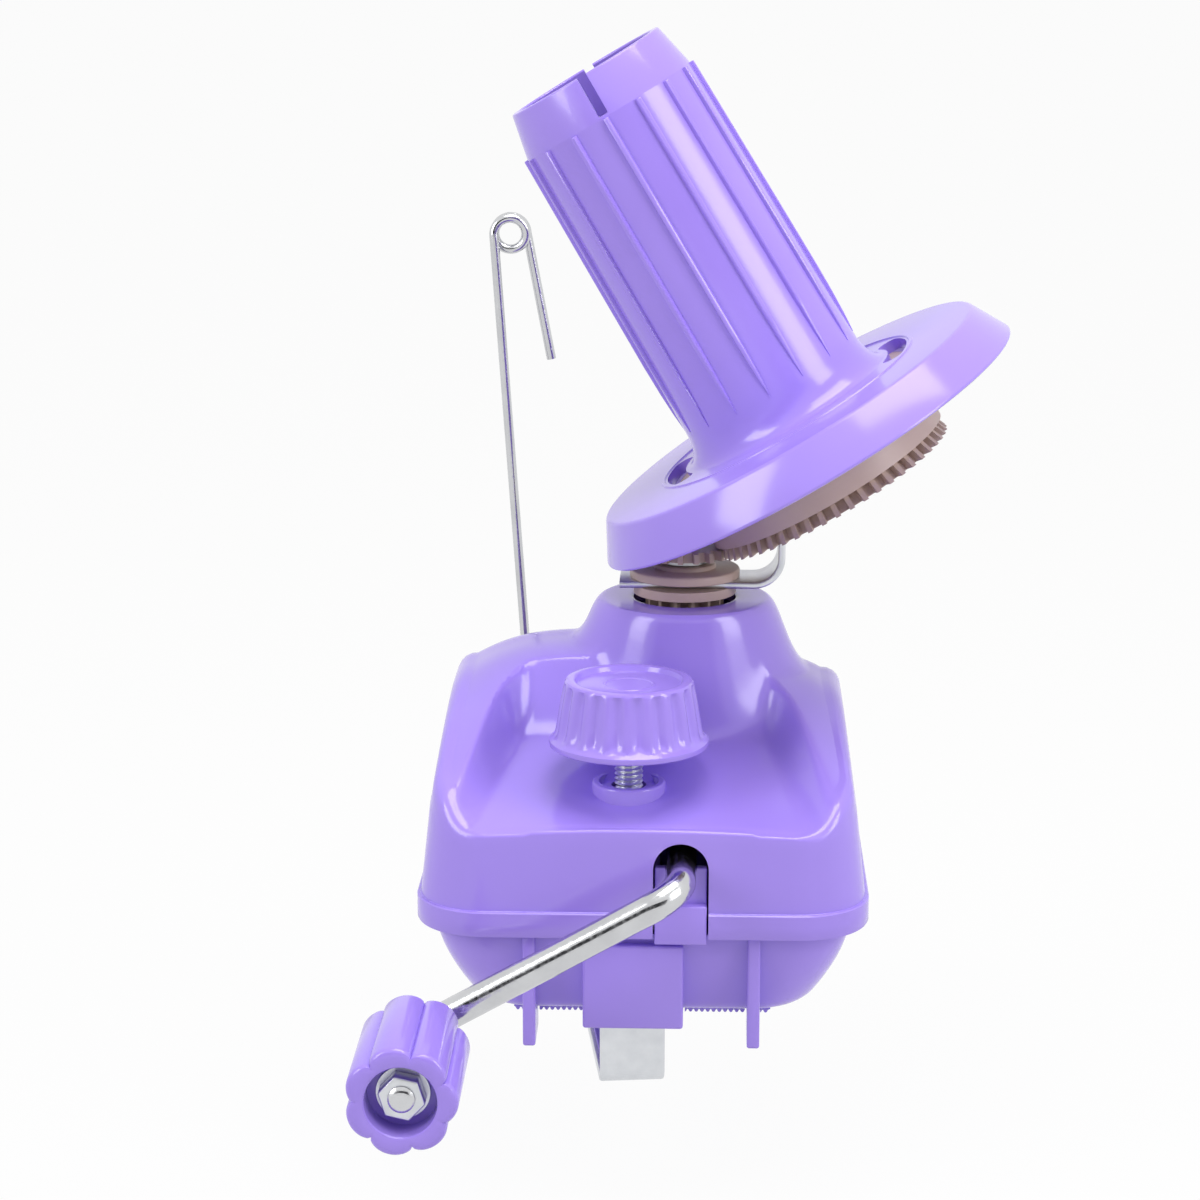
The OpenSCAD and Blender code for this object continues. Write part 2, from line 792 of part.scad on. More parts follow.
// Tube, flange and skirt turned in one profile round the spool line
module spool_shell() {
    foot = tube_foot_d / 2;
    throat = tube_neck_d / 2;
    rim = tube_rim_d / 2;
    edge = flange_d / 2;
    rotate_extrude() polygon(concat(
        [[stud_r + running, flange_low], [flange_flat_r - 1, flange_low]],
        [[edge - 1.6, flange_top - skirt_h], [edge, flange_top - skirt_h], [flange_flat_r, flange_top]],
        [
            for (a = [0 : 15 : 90])
                [foot + foot_flare * (1 - sin(a)), flange_top + 2 * foot_flare * (1 - cos(a))]
        ],
        [[throat, rib_high + 1], [rim, tube_top]],
        [[rim - tube_wall, tube_top], [throat - tube_wall, rib_high]],
        [[foot - tube_wall, rib_low], [foot - tube_wall, flange_top], [spool_hub_r, flange_top]],
        [[spool_hub_r, spool_hub_top], [stud_r + running, spool_hub_top]]
    ));
}

module spool_ribs() {
    r_low = tube_foot_d / 2 + rib_proud;
    r_high = tube_neck_d / 2 + rib_proud;
    intersection() {
        translate([0, 0, rib_low]) cylinder(r1 = r_low, r2 = r_high, h = rib_high - rib_low);
        for (i = [0 : rib_count - 1]) rotate([0, 0, (i + 0.5) * 360 / rib_count])
            translate([tube_neck_d / 2 - 1, -rib_w / 2, rib_low]) cube([5, rib_w, rib_high - rib_low]);
    }
}

module spool() {
    window_in = tube_foot_d / 2 + foot_flare + 0.6;
    color(purple) on_spool_line() difference() {
        union() {
            spool_shell();
            spool_ribs();
        }
        for (side = [0, 180]) rotate([0, 0, side - 25]) rotate_extrude(angle = 50)
            translate([window_in, flange_low - over]) square([4.6, flange_t + 2 * over]);
        for (side = [-90, 90]) rotate([0, 0, side])
            translate([tube_rim_d / 2 - 4, -1.1, tube_top - 10]) cube([8, 2.2, 11]);
    }
}

// Dish under the flange, with bevel teeth on its lower edge
module dish_gear() {
    inner = dish_d / 2 - dish_wall;
    web = 2.5;
    color(beige) on_spool_line() difference() {
        union() {
            difference() {
                translate([0, 0, dish_low]) cylinder(r = dish_d / 2, h = flange_low - dish_low);
                translate([0, 0, dish_low - over])
                    cylinder(r = inner, h = flange_low - web - dish_low + over);
            }
            difference() {
                bevel(dish_teeth, dish_pitch_r, -dish_pitch_drop, dish_angle, ring_low, dish_low, 0);
                translate([0, 0, ring_low - over]) cylinder(r = inner - 2, h = 6);
            }
            translate([0, 0, dish_low]) cylinder(r = inner + 1, h = 0.8);
            translate([0, 0, dish_hub_low]) cylinder(r = dish_hub_r, h = flange_low - dish_hub_low);
        }
        difference() {
            translate([0, 0, ring_low - over])
                cylinder(r = inner - 2, h = flange_low - web - ring_low + over);
            translate([0, 0, dish_hub_low]) cylinder(r = dish_hub_r, h = flange_low - dish_hub_low);
        }
        translate([0, 0, ring_low - over])
            cylinder(r = stud_r + running, h = flange_low - ring_low + 2 * over);
    }
}

// Steel strip bent to a J: tab on the screw, leg in the column, foot under the table
module clamp_jaw() {
    low = -jaw_gap - jaw_t;
    color(steel) on_clamp() rotate([0, 0, jaw_yaw]) difference() {
        translate([-jaw_w / 2, 0, 0]) union() {
            translate([0, leg_y - clamp_y, tab_z]) cube([jaw_w, clamp_y - leg_y + tab_back, jaw_t]);
            translate([0, leg_y - clamp_y, low]) cube([jaw_w, jaw_t, tab_z + jaw_t - low]);
            translate([0, leg_y - clamp_y, low]) cube([jaw_w, jaw_foot, jaw_t]);
        }
        translate([0, 0, tab_z - over]) cylinder(r = screw_r - 1 + running, h = jaw_t + 2 * over);
    }
}

module jaw_pad() {
    in = 1;
    color(dark) on_clamp() rotate([0, 0, jaw_yaw])
        translate([-jaw_w / 2 + in, leg_y - clamp_y + pad_setback, -jaw_gap])
            cube([jaw_w - 2 * in, jaw_foot - pad_setback - 2 * in, jaw_pad_t]);
}

module clamp_screw() {
    shoulder = tab_z + jaw_t + 0.1;
    color(steel) on_clamp() {
        translate([0, 0, screw_low]) cylinder(r = screw_r - 1, h = shoulder - screw_low + over);
        translate([0, 0, shoulder]) cylinder(r = screw_r, h = knob_z + knob_h - 4 - shoulder);
    }
}

module screw_clip() {
    color(steel) on_clamp() ring(screw_r + 1.6, 1.2, tab_z - 1.4, screw_r - 1 + seat);
}

// Fluted knob with a raised rim round a recessed top
module clamp_knob() {
    lip = knob_d / 2;
    rim = lip * 0.79;
    flutes = 20;
    color(purple) on_clamp() translate([0, 0, knob_z]) difference() {
        rotate_extrude() polygon([
            [screw_r + seat, 1], [lip - 2.4, 1], [lip - 1.4, 0], [lip, 0], [lip, 1.4], [lip - 0.9, 2.2],
            [rim, knob_h - 1], [rim - 0.9, knob_h], [rim - 2.4, knob_h], [rim - 3.2, knob_h - 1.2],
            [0, knob_h - 1.2], [0, knob_h - 4], [screw_r + seat, knob_h - 4]
        ]);
        for (i = [0 : flutes - 1]) rotate([0, 0, i * 360 / flutes])
            translate([lip + 0.3, 0, 2.4]) rotate([0, -atan2(lip - 0.9 - rim, knob_h - 3.2), 0])
                cylinder(r = 1.5, h = knob_h + 2);
    }
}

// Tube swept along points that lie close to the XZ plane
module wire_along(points, r, sides = 8) {
    last = len(points) - 1;
    ways = [for (i = [0 : last]) points[min(i + 1, last)] - points[max(i - 1, 0)]];
    rings = [
        for (i = [0 : last])
            let (t = ways[i] / norm(ways[i]), c = cross(t, [0, 1, 0]), u = c / norm(c), v = cross(u, t))
                for (k = [0 : sides - 1])
                    points[i] + r * (cos(k * 360 / sides) * u + sin(k * 360 / sides) * v)
    ];
    skin = [
        for (i = [0 : last - 1], k = [0 : sides - 1])
            let (a = i * sides + k, b = i * sides + (k + 1) % sides)
                each [[a, b + sides, a + sides], [a, b, b + sides]]
    ];
    caps = [
        for (k = [1 : sides - 2])
            each [[0, k + 1, k], [last * sides, last * sides + k, last * sides + k + 1]]
    ];
    polyhedron(rings, concat(skin, caps));
}

// Eye turned one and a half times from the upright, then the tail
eye_r = eye_d / 2;
eye_steps = 36;
eye_turn = 540 - tail_lean;
eye_shift = 1.9 * wire_d;
eye_points = [
    for (i = [0 : eye_steps])
        let (f = i / eye_steps, a = 180 - f * eye_turn)
            [eye_r * (1 + cos(a)), f * eye_shift, guide_rise + eye_r * sin(a)]
];
tail_end = eye_points[eye_steps] + tail_l * [sin(tail_lean), 0, -cos(tail_lean)];
guide_eye = concat([[0, 0, guide_rise - eye_lap]], eye_points, [tail_end]);

// One wire: pivot leg, upright, eye and tail
module yarn_guide() {
    pivot_in = half_d - bush_in + 1;
    color(steel) translate([-guide_x, 0, guide_z]) rotate([0, -guide_lean, 0]) {
        rod_y(wire_r, pivot_in, guide_y - guide_bend);
        translate([0, guide_y - guide_bend, guide_bend]) rotate([90, 0, 90]) rotate([0, 0, -90])
            rotate_extrude(angle = 90) translate([guide_bend, 0]) circle(wire_r);
        translate([0, guide_y, 0]) ring(wire_r, guide_rise - guide_bend - eye_lap + over, guide_bend);
        translate([0, guide_y, 0]) wire_along(guide_eye, 0.99 * wire_r);
    }
}

upper_cover();
lower_base();
grip_pad();
cover_screws();
guide_bush();
clamp_nut();
centre_post();
sun_gear();
post_clip();
crank_rod();
drive_gear();
gear_pin();
shaft_clip();
handle_washer();
handle_nut();
crank_knob();
pinion();
bracket();
collar_cap();
spool_stud();
stud_washer();
spool_washer();
spool_screw();
spool();
dish_gear();
clamp_jaw();
jaw_pad();
clamp_screw();
clamp_knob();
screw_clip();
yarn_guide();
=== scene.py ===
import math

import bpy
from mathutils import Matrix, Vector


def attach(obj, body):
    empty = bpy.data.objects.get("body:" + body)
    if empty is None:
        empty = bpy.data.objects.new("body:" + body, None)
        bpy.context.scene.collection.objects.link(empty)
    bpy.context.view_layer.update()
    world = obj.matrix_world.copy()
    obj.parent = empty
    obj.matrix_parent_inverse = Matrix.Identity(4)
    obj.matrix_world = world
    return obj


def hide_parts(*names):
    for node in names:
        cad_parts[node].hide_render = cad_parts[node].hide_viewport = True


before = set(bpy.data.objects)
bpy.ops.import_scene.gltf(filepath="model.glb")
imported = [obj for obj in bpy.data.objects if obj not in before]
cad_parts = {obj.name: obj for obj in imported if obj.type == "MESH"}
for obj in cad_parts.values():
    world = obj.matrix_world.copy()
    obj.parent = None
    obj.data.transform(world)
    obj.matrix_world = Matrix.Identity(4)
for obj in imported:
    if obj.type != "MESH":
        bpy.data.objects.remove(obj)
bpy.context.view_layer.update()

# The camera stands where the photographer stood: a little right of the middle and above the spool's foot,
# looking down thirteen degrees with a long lens, turned slightly left so that the crank knob is in view.
bpy.ops.object.select_all(action="DESELECT")
bpy.ops.object.camera_add(
    location=(0.01246, -0.63331, 0.22849), rotation=(math.radians(76.8), 0, math.radians(2.03))
)
bpy.context.scene.camera = bpy.context.object
bpy.context.object.name = "camera"
bpy.context.object.data.lens = 91.4
bpy.context.object.data.sensor_width = 36
bpy.context.scene.view_settings.view_transform = "Standard"


# Studio: a white table sheet below the crank's sweep, a white sky that plated metal mirrors, and three soft
# boxes, above, right and left, as for a catalogue picture. A grey card stands behind the camera. Sheet and sky
# are plain white to the camera and in reflections, and light the object less than they show.
def linear(colour):
    parts = [int(colour[i:i + 2], 16) / 255 for i in (1, 3, 5)]
    return [c / 12.92 if c <= 0.04045 else ((c + 0.055) / 1.055) ** 2.4 for c in parts] + [1.0]


def add(tree, kind, settings, sockets):
    node = tree.nodes.new("ShaderNode" + kind)
    for name, value in settings.items():
        setattr(node, name, value)
    for name, value in sockets.items():
        if isinstance(value, bpy.types.NodeSocket):
            tree.links.new(value, node.inputs[name])
        else:
            node.inputs[name].default_value = value
    return node


def background_rays(tree):
    ray = add(tree, "LightPath", {}, {}).outputs
    direct = {0: ray["Is Glossy Ray"], 1: ray["Is Camera Ray"]}
    seen = add(tree, "Math", {"operation": "MAXIMUM"}, direct).outputs[0]
    return add(tree, "Math", {"operation": "MAXIMUM"}, {0: seen, 1: ray["Is Transmission Ray"]}).outputs[0]


bpy.ops.mesh.primitive_plane_add(size=60, location=(0, 0, -0.04))
table_sheet = bpy.context.object
table_sheet.name = "table_sheet"
white_paper = bpy.data.materials.new("white_paper")
white_paper.use_nodes = True
tree = white_paper.node_tree
tree.nodes.clear()
share = add(tree, "Math", {"operation": "MULTIPLY"}, {0: background_rays(tree), 1: 0.95})
paper = add(tree, "BsdfDiffuse", {}, {"Color": linear("#D2D2D2")})
glow = add(tree, "Emission", {}, {"Color": linear("#FFFFFF"), "Strength": 1.0})
both = add(tree, "MixShader", {}, {0: share.outputs[0], 1: paper.outputs[0], 2: glow.outputs[0]})
add(tree, "OutputMaterial", {}, {"Surface": both.outputs[0]})
table_sheet.data.materials.append(white_paper)

sky = bpy.data.worlds.new("studio")
bpy.context.scene.world = sky
sky.use_nodes = True
tree = sky.node_tree
tree.nodes.clear()
strength = add(tree, "MapRange", {}, {"Value": background_rays(tree), "To Min": 0.45, "To Max": 1.0})
light = add(tree, "Background", {}, {"Color": linear("#FFFFFF"), "Strength": strength.outputs[0]})
add(tree, "OutputWorld", {}, {"Surface": light.outputs[0]})

for name, place, width, depth, power in (
    ("soft_box_above", (0.10, -0.10, 0.75), 0.50, 0.40, 3.5),
    ("soft_box_right", (0.60, -0.35, 0.40), 0.30, 0.45, 2.6),
    ("soft_box_left", (-0.60, -0.40, 0.40), 0.30, 0.45, 2.6),
):
    aim = (Vector((0, 0, 0.07)) - Vector(place)).to_track_quat("-Z", "Y").to_euler()
    bpy.ops.object.light_add(type="AREA", location=place, rotation=aim)
    bpy.context.object.name = name
    bpy.context.object.data.shape = "RECTANGLE"
    bpy.context.object.data.size = width
    bpy.context.object.data.size_y = depth
    bpy.context.object.data.energy = power

# The card is seen only in reflections: it draws the dark streak along the plated bar and the wire.
bpy.ops.mesh.primitive_plane_add(size=1, location=(0, -1.3, 0.5), rotation=(math.radians(90), 0, 0))
grey_card = bpy.context.object
grey_card.name = "grey_card"
grey_card.scale = (1.8, 0.6, 1)
card_grey = bpy.data.materials.new("card_grey")
card_grey.use_nodes = True
card_grey.node_tree.nodes["Principled BSDF"].inputs["Base Color"].default_value = linear("#35353A")
grey_card.data.materials.append(card_grey)
grey_card.visible_camera = grey_card.visible_diffuse = grey_card.visible_shadow = False

# Lower base: a tapered tray of purple ABS, injection moulded in one shot with two stop fins, the hollow column
# that guides the clamp jaw, and the half-round saddles that carry the crank. It is screwed up into the cover.
MM = 0.001
crank_x, crank_z = 8, 34.5
screw_x, screw_y = -3, -29
fin_x = 23
rim, tray_foot = 20, 1.8
jaw_turn = math.radians(7)
at_clamp = Matrix.Translation((screw_x * MM, screw_y * MM, 0))


def close_up(piece, angle=32):
    bpy.ops.object.select_all(action="DESELECT")
    piece.select_set(True)
    bpy.context.view_layer.objects.active = piece
    bpy.ops.object.mode_set(mode="EDIT")
    bpy.ops.mesh.select_all(action="SELECT")
    bpy.ops.mesh.remove_doubles(threshold=0.002 * MM)
    bpy.ops.mesh.normals_make_consistent(inside=False)
    bpy.ops.object.mode_set(mode="OBJECT")
    bpy.ops.object.shade_smooth_by_angle(angle=math.radians(angle))
    return piece


def skin(name, rings):
    around, along = len(rings[0]), len(rings)
    bpy.ops.object.select_all(action="DESELECT")
    bpy.ops.mesh.primitive_grid_add(x_subdivisions=around, y_subdivisions=along - 1, size=1)
    piece = bpy.context.object
    piece.name = piece.data.name = name
    for corner in piece.data.vertices:
        i = round((corner.co.x + 0.5) * around) % around
        j = round((corner.co.y + 0.5) * (along - 1))
        corner.co = [c * MM for c in rings[j][i]]
    return close_up(piece)


def block(name, low, high, round_off=0.4):
    bpy.ops.object.select_all(action="DESELECT")
    bpy.ops.mesh.primitive_cube_add(
        size=1,
        location=[(a + b) / 2 * MM for a, b in zip(low, high)],
        scale=[(b - a) * MM for a, b in zip(low, high)],
    )
    bpy.ops.object.transform_apply(location=True, rotation=True, scale=True)
    bpy.context.object.name = name
    bpy.ops.object.mode_set(mode="EDIT")
    bpy.ops.mesh.select_all(action="SELECT")
    bpy.ops.mesh.bevel(offset=round_off * MM, segments=3, affect="EDGES")
    bpy.ops.object.mode_set(mode="OBJECT")
    return bpy.context.object


def round_bar(name, start, end, radius, sides=48):
    start, end = Vector(start) * MM, Vector(end) * MM
    bpy.ops.object.select_all(action="DESELECT")
    bpy.ops.mesh.primitive_cylinder_add(
        vertices=sides, radius=radius * MM, depth=(end - start).length, location=(start + end) / 2,
        rotation=(end - start).to_track_quat("Z", "Y").to_euler(),
    )
    bpy.ops.object.transform_apply(location=True, rotation=True, scale=True)
    bpy.context.object.name = name
    return bpy.context.object


def carve(piece, tool, how="DIFFERENCE"):
    bpy.ops.object.select_all(action="DESELECT")
    bpy.context.view_layer.objects.active = piece
    step = piece.modifiers.new("carve", "BOOLEAN")
    step.operation, step.object, step.solver = how, tool, "EXACT"
    bpy.ops.object.modifier_apply(modifier=step.name)
    bpy.data.objects.remove(tool)


def fit(piece, finish, slot, body, *nodes):
    piece.data.materials.clear()
    piece.data.materials.append(finish)
    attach(piece, body)
    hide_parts(*nodes)


def dress(finish, *nodes):
    for name in nodes:
        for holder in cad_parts[name].material_slots:
            holder.material = finish


def blank_finish(name):
    finish = bpy.data.materials.new(name)
    finish.use_nodes = True
    finish.node_tree.nodes.clear()
    return finish, finish.node_tree, add(finish.node_tree, "TexCoord", {}, {}).outputs["Object"]


# Glossy moulded ABS: one even purple with a faint flow mottle about 25 mm wide, and an orange-peel surface of
# about 1.2 mm, so that the soft boxes mirror in it with slightly wavering edges. The peel is drawn coarser than
# the real one, so that it shows.
moulded_abs, tree, place = blank_finish("moulded_abs")
flow = add(tree, "TexNoise", {}, {"Vector": place, "Scale": 1 / 0.025, "Detail": 2.0}).outputs["Fac"]
tint = add(tree, "Mix", {"data_type": "RGBA"}, {0: flow, 6: linear("#987EDF"), 7: linear("#A28AE7")})
peel = add(tree, "TexNoise", {}, {"Vector": place, "Scale": 1 / 0.0012, "Detail": 1.0}).outputs["Fac"]
gloss = add(tree, "MapRange", {}, {"Value": flow, "To Min": 0.13, "To Max": 0.20}).outputs[0]
wave = add(tree, "Bump", {}, {"Height": peel, "Strength": 0.10, "Distance": 0.00008}).outputs[0]
shell = add(tree, "BsdfPrincipled", {}, {
    "Base Color": tint.outputs[2], "Roughness": gloss, "Normal": wave, "IOR": 1.53,
})
add(tree, "OutputMaterial", {}, {"Surface": shell.outputs[0]})


def outline(half_x, half_y, corner, arc=20, straight=44):
    points = []
    quarters = [(1, 1), (-1, 1), (-1, -1), (1, -1)]

    def on_arc(quarter, angle):
        sx, sy = quarters[quarter % 4]
        a = math.radians(angle)
        return sx * (half_x - corner) + corner * math.cos(a), sy * (half_y - corner) + corner * math.sin(a)

    for q in range(4):
        points += [on_arc(q, 90 * (q + k / arc)) for k in range(arc + 1)]
        here, ahead = points[-1], on_arc(q + 1, 90 * (q + 1))
        for k in range(1, straight):
            t = k / straight
            points.append((here[0] + (ahead[0] - here[0]) * t, here[1] + (ahead[1] - here[1]) * t))
    return points


def level(half_x, half_y, corner, z):
    return [(x, y, z) for x, y in outline(half_x, half_y, corner)]


around = len(outline(1, 1, 1))
tray = [[(0, 0, 4.0)] * around]
tray += [level(31, 36, 8, 4.0), level(37.5, 39.5, 10, 12.0), level(40.8, 40.9, 10, rim)]
for z in (rim, 18, 16, 14, 12, 10, 8, 6.5, 5.2, 4.2, 3.4, 2.7, 2.2, 1.9, tray_foot):
    taper = ((rim - z) / (rim - tray_foot)) ** 1.6
    turn_in = 1.8 * (1 - math.sqrt(max(0, 1 - (max(0, 4.2 - z) / 2.4) ** 2)))
    tray.append(level(43 - 8.5 * taper - turn_in, 43.2 - 4.7 * taper - turn_in, 12 - turn_in, z))
tray.append([(0, 0, tray_foot)] * around)
lower_base = skin("base_moulding", tray)
for side in (-1, 1):
    carve(lower_base, block("fin", (side * fin_x - 1.3, -45, -4), (side * fin_x + 1.3, -33, 19.9), 0.5), "UNION")
carve(lower_base, block("column", (-12, -45, 0), (8.6, -19, 18), 0.6), "UNION")
carve(lower_base, block("crank_tab", (crank_x - 5.3, -46.6, 18.9), (crank_x + 5.3, -42, 27), 0.3), "UNION")
carve(lower_base, block("crank_saddle", (crank_x - 5.3, -44.2, rim), (crank_x + 5.3, -42, crank_z), 0.3), "UNION")
carve(lower_base, block("rear_saddle", (crank_x - 5.3, -24, 3), (crank_x + 5.3, -20, crank_z), 0.3), "UNION")
carve(lower_base, round_bar("saddle_bore", (crank_x, -48, crank_z), (crank_x, -15, crank_z), 3.2))
carve(lower_base, block("column_top", (-12, -41.9, 17), (8.6, -19, 28), 0.4), "UNION")
carve(lower_base, block("nut_tower", (-9.7, -35.7, 25), (3.7, -22.3, 36), 0.4), "UNION")
carve(lower_base, round_bar("nut_seat", (screw_x, screw_y, 31), (screw_x, screw_y, 37), 5.22, 6))
carve(lower_base, round_bar("screw_bore", (screw_x, screw_y, 20), (screw_x, screw_y, 34), 3.35))
for x, y in ((29, 29), (-29, 29), (-29, -29), (29, -29)):
    carve(lower_base, round_bar("screw_post", (x, y, 3), (x, y, 19.9), 4.2), "UNION")
    carve(lower_base, round_bar("screw_hole", (x, y, -1), (x, y, 22), 1.85))
    carve(lower_base, round_bar("head_recess", (x, y, -1), (x, y, 4.1), 3.15))
jaw_room = block("jaw_room", (-7.1, -9.95, -1), (7.1, 7.6, 25.6), 0.2)
jaw_room.data.transform(at_clamp @ Matrix.Rotation(jaw_turn, 4, "Z"))
carve(lower_base, jaw_room)
close_up(lower_base)
fit(lower_base, moulded_abs, "purple_abs", "housing", "lower_base")

# Grip pad: a ribbed sheet of purple rubber, moulded flat and glued under the tray, ribs running front to back.
# It has cut-outs for the column and the fins, and its rib ends show as a serrated edge at the front.

# Moulded rubber: matt, with dust that pales it in patches of about 6 mm, and pores of about 0.5 mm, drawn coarser
# than the real ones so that they show.
moulded_rubber, tree, place = blank_finish("moulded_rubber")
dust = add(tree, "TexNoise", {}, {"Vector": place, "Scale": 1 / 0.006, "Detail": 4.0}).outputs["Fac"]
tint = add(tree, "Mix", {"data_type": "RGBA"}, {0: dust, 6: linear("#9F8BE2"), 7: linear("#AE9BEC")})
grain = add(tree, "TexNoise", {}, {"Vector": place, "Scale": 1 / 0.0005, "Detail": 2.0}).outputs["Fac"]
rough = add(tree, "MapRange", {}, {"Value": dust, "To Min": 0.65, "To Max": 0.85}).outputs[0]
pores = add(tree, "Bump", {}, {"Height": grain, "Strength": 0.4, "Distance": 0.0001}).outputs[0]
shell = add(tree, "BsdfPrincipled", {}, {
    "Base Color": tint.outputs[2], "Roughness": rough, "Normal": pores, "IOR": 1.52,
})
add(tree, "OutputMaterial", {}, {"Surface": shell.outputs[0]})


def prism(name, outline_xz, y_front, y_back):
    bpy.ops.object.select_all(action="DESELECT")
    bpy.ops.mesh.primitive_circle_add(vertices=len(outline_xz), radius=1, fill_type="NGON")
    piece = bpy.context.object
    piece.name = piece.data.name = name
    for corner, (x, z) in zip(piece.data.vertices, outline_xz):
        corner.co = (x * MM, y_front * MM, z * MM)
    bpy.ops.object.mode_set(mode="EDIT")
    bpy.ops.mesh.select_all(action="SELECT")
    bpy.ops.mesh.extrude_region_move(TRANSFORM_OT_translate={"value": (0, (y_back - y_front) * MM, 0)})
    bpy.ops.object.mode_set(mode="OBJECT")
    return close_up(piece)


rib_pitch = 1.2
pad_half = 26.7
serrated = [(-pad_half, 1.9), (-pad_half, 0.8)]
for k in range(44):
    x = -26.4 + rib_pitch * k
    serrated += [(x, 0.6), (x + 0.25, 0.1), (x + 0.5, 0.0), (x + 0.75, 0.1), (x + 1.0, 0.6)]
serrated += [(pad_half, 0.8), (pad_half, 1.9)]
grip_pad = prism("rubber_foot", serrated, -34.5, 34.5)
carve(grip_pad, block("column_notch", (-12.3, -40, -1), (8.9, -18.7, 3)))
for side in (-1, 1):
    carve(grip_pad, block("fin_notch", (side * fin_x - 1.6, -40, -1), (side * fin_x + 1.6, -32.7, 3)))
for x, y in ((26, 29), (-26, 29), (-26, -29), (26, -29)):
    carve(grip_pad, block("screw_notch", (x - 6.5, y - 3.5, -1), (x + 6.5, y + 3.5, 3)))
close_up(grip_pad, 25)
fit(grip_pad, moulded_rubber, "rubber_pad", "housing", "grip_pad")
dress(moulded_rubber, "jaw_pad")

# Hidden fixings: the centre post, the hex nut that the clamp screw runs in, and the four screws that join base
# and cover. All are mild steel with a thin bright zinc plating.

# Zinc plating on rolled steel: a pale grey metal, clouded in patches of about 4 mm, with a grit of about 0.6 mm,
# drawn coarser than the real one, that breaks up what it mirrors.
zinc_plate, tree, place = blank_finish("zinc_plate")
cloud = add(tree, "TexNoise", {}, {"Vector": place, "Scale": 1 / 0.004, "Detail": 5.0}).outputs["Fac"]
tint = add(tree, "Mix", {"data_type": "RGBA"}, {0: cloud, 6: linear("#C6C9CE"), 7: linear("#E6E8EB")})
grit = add(tree, "TexNoise", {}, {"Vector": place, "Scale": 1 / 0.0006, "Detail": 3.0}).outputs["Fac"]
rough = add(tree, "MapRange", {}, {"Value": grit, "To Min": 0.24, "To Max": 0.46}).outputs[0]
pits = add(tree, "Bump", {}, {"Height": grit, "Strength": 0.25, "Distance": 0.00006}).outputs[0]
metal = add(tree, "BsdfPrincipled", {}, {
    "Base Color": tint.outputs[2], "Metallic": 1.0, "Roughness": rough, "Normal": pits,
})
add(tree, "OutputMaterial", {}, {"Surface": metal.outputs[0]})
dress(zinc_plate, "centre_post", "clamp_nut", "cover_screws")

# Upper cover: one thin-walled moulding of the same purple ABS, with a scooped panel for the clamp knob, two
# shoulders, a round neck for the spindle and a raised band round its lower edge. It drops over the base.
neck_x, neck_y, neck_top = 8, 12, 78.2
body_half, body_corner = 46, 14
front_edge, band_top = 41.5, 25.5
wall = 2.4
ridge_across = [
    (-46, 57.5), (-41, 61), (-38.4, 63), (-31.4, 66.4), (-23.6, 68.4), (-12, 69.2),
    (8, 69.2), (20, 67.6), (33, 63), (37, 61.3), (41.5, 58.6), (46, 55),
]
ridge_along = [
    (-46, 0), (-40, 0.255), (-30, 0.49), (-15, 0.776), (0, 0.97), (12, 1), (22, 0.96), (36, 0.61), (46, 0.18),
]


def through(table, at):
    at = min(max(at, table[0][0]), table[-1][0])
    k = max(i for i in range(len(table) - 1) if table[i][0] <= at)
    (x0, y0), (x1, y1) = table[k], table[k + 1]
    before, after = table[max(k - 1, 0)], table[min(k + 2, len(table) - 1)]
    m0 = (y1 - before[1]) / (x1 - before[0])
    m1 = (after[1] - y0) / (after[0] - x0)
    d = x1 - x0
    t = (at - x0) / d
    return (
        (2 * t ** 3 - 3 * t ** 2 + 1) * y0 + (t ** 3 - 2 * t ** 2 + t) * d * m0
        + (3 * t ** 2 - 2 * t ** 3) * y1 + (t ** 3 - t ** 2) * d * m1
    )


def soft_low(a, b, width):
    h = max(width - abs(a - b), 0) / width
    return min(a, b) - h * h * width / 4


def cover_height(x, y):
    from_front = y + body_half
    shoulder = front_edge + (through(ridge_across, x) - front_edge) * through(ridge_along, y)
    back = min(max(from_front / 40.5, 0), 1)
    panel = front_edge + (min(y, -5) + body_half) * math.tan(math.radians(18))
    panel += 1.3 * (1 - (x / 34) ** 2) * max(0, 1 - from_front / 16)
    out = math.hypot(max(0, abs(x) - (33 - 10 * back)) / 7, max(0, y + 14) / 12)
    bowl = panel + (max(shoulder, panel) - panel) * out ** 2 if out < 1.6 else shoulder + 9
    body = soft_low(shoulder, bowl, 1.6) if shoulder > panel else panel
    r, a = math.hypot(x - neck_x, y - neck_y), math.atan2(y - neck_y, x - neck_x)
    slope = 2.6 + 2.4 * max(0, -math.sin(a)) ** 2
    neck = soft_low(neck_top, neck_top - slope * (r - 19.2), 4)
    return -soft_low(-neck, -body, 6)


def lean(x, z):
    return x * (1 - max(0, z - band_top) / 36 * 4 / body_half)


def settle(x, y):
    z = 50
    for _ in range(6):
        z = cover_height(lean(x, z), y)
    return lean(x, z), y, z


def rounded(corners, steps=4):
    points = []
    for k, (x, z, r) in enumerate(corners):
        here = Vector((x, z))
        if not r:
            points.append(here)
            continue
        a = (Vector(corners[k - 1][:2]) - here).normalized()
        b = (Vector(corners[(k + 1) % len(corners)][:2]) - here).normalized()
        half = a.angle(b) / 2
        middle = here + (a + b).normalized() * (r / math.sin(half))
        cut = r / math.tan(half)
        start, end = here + a * cut - middle, here + b * cut - middle
        points += [middle + start.lerp(end, s / steps).normalized() * r for s in range(steps + 1)]
    return points


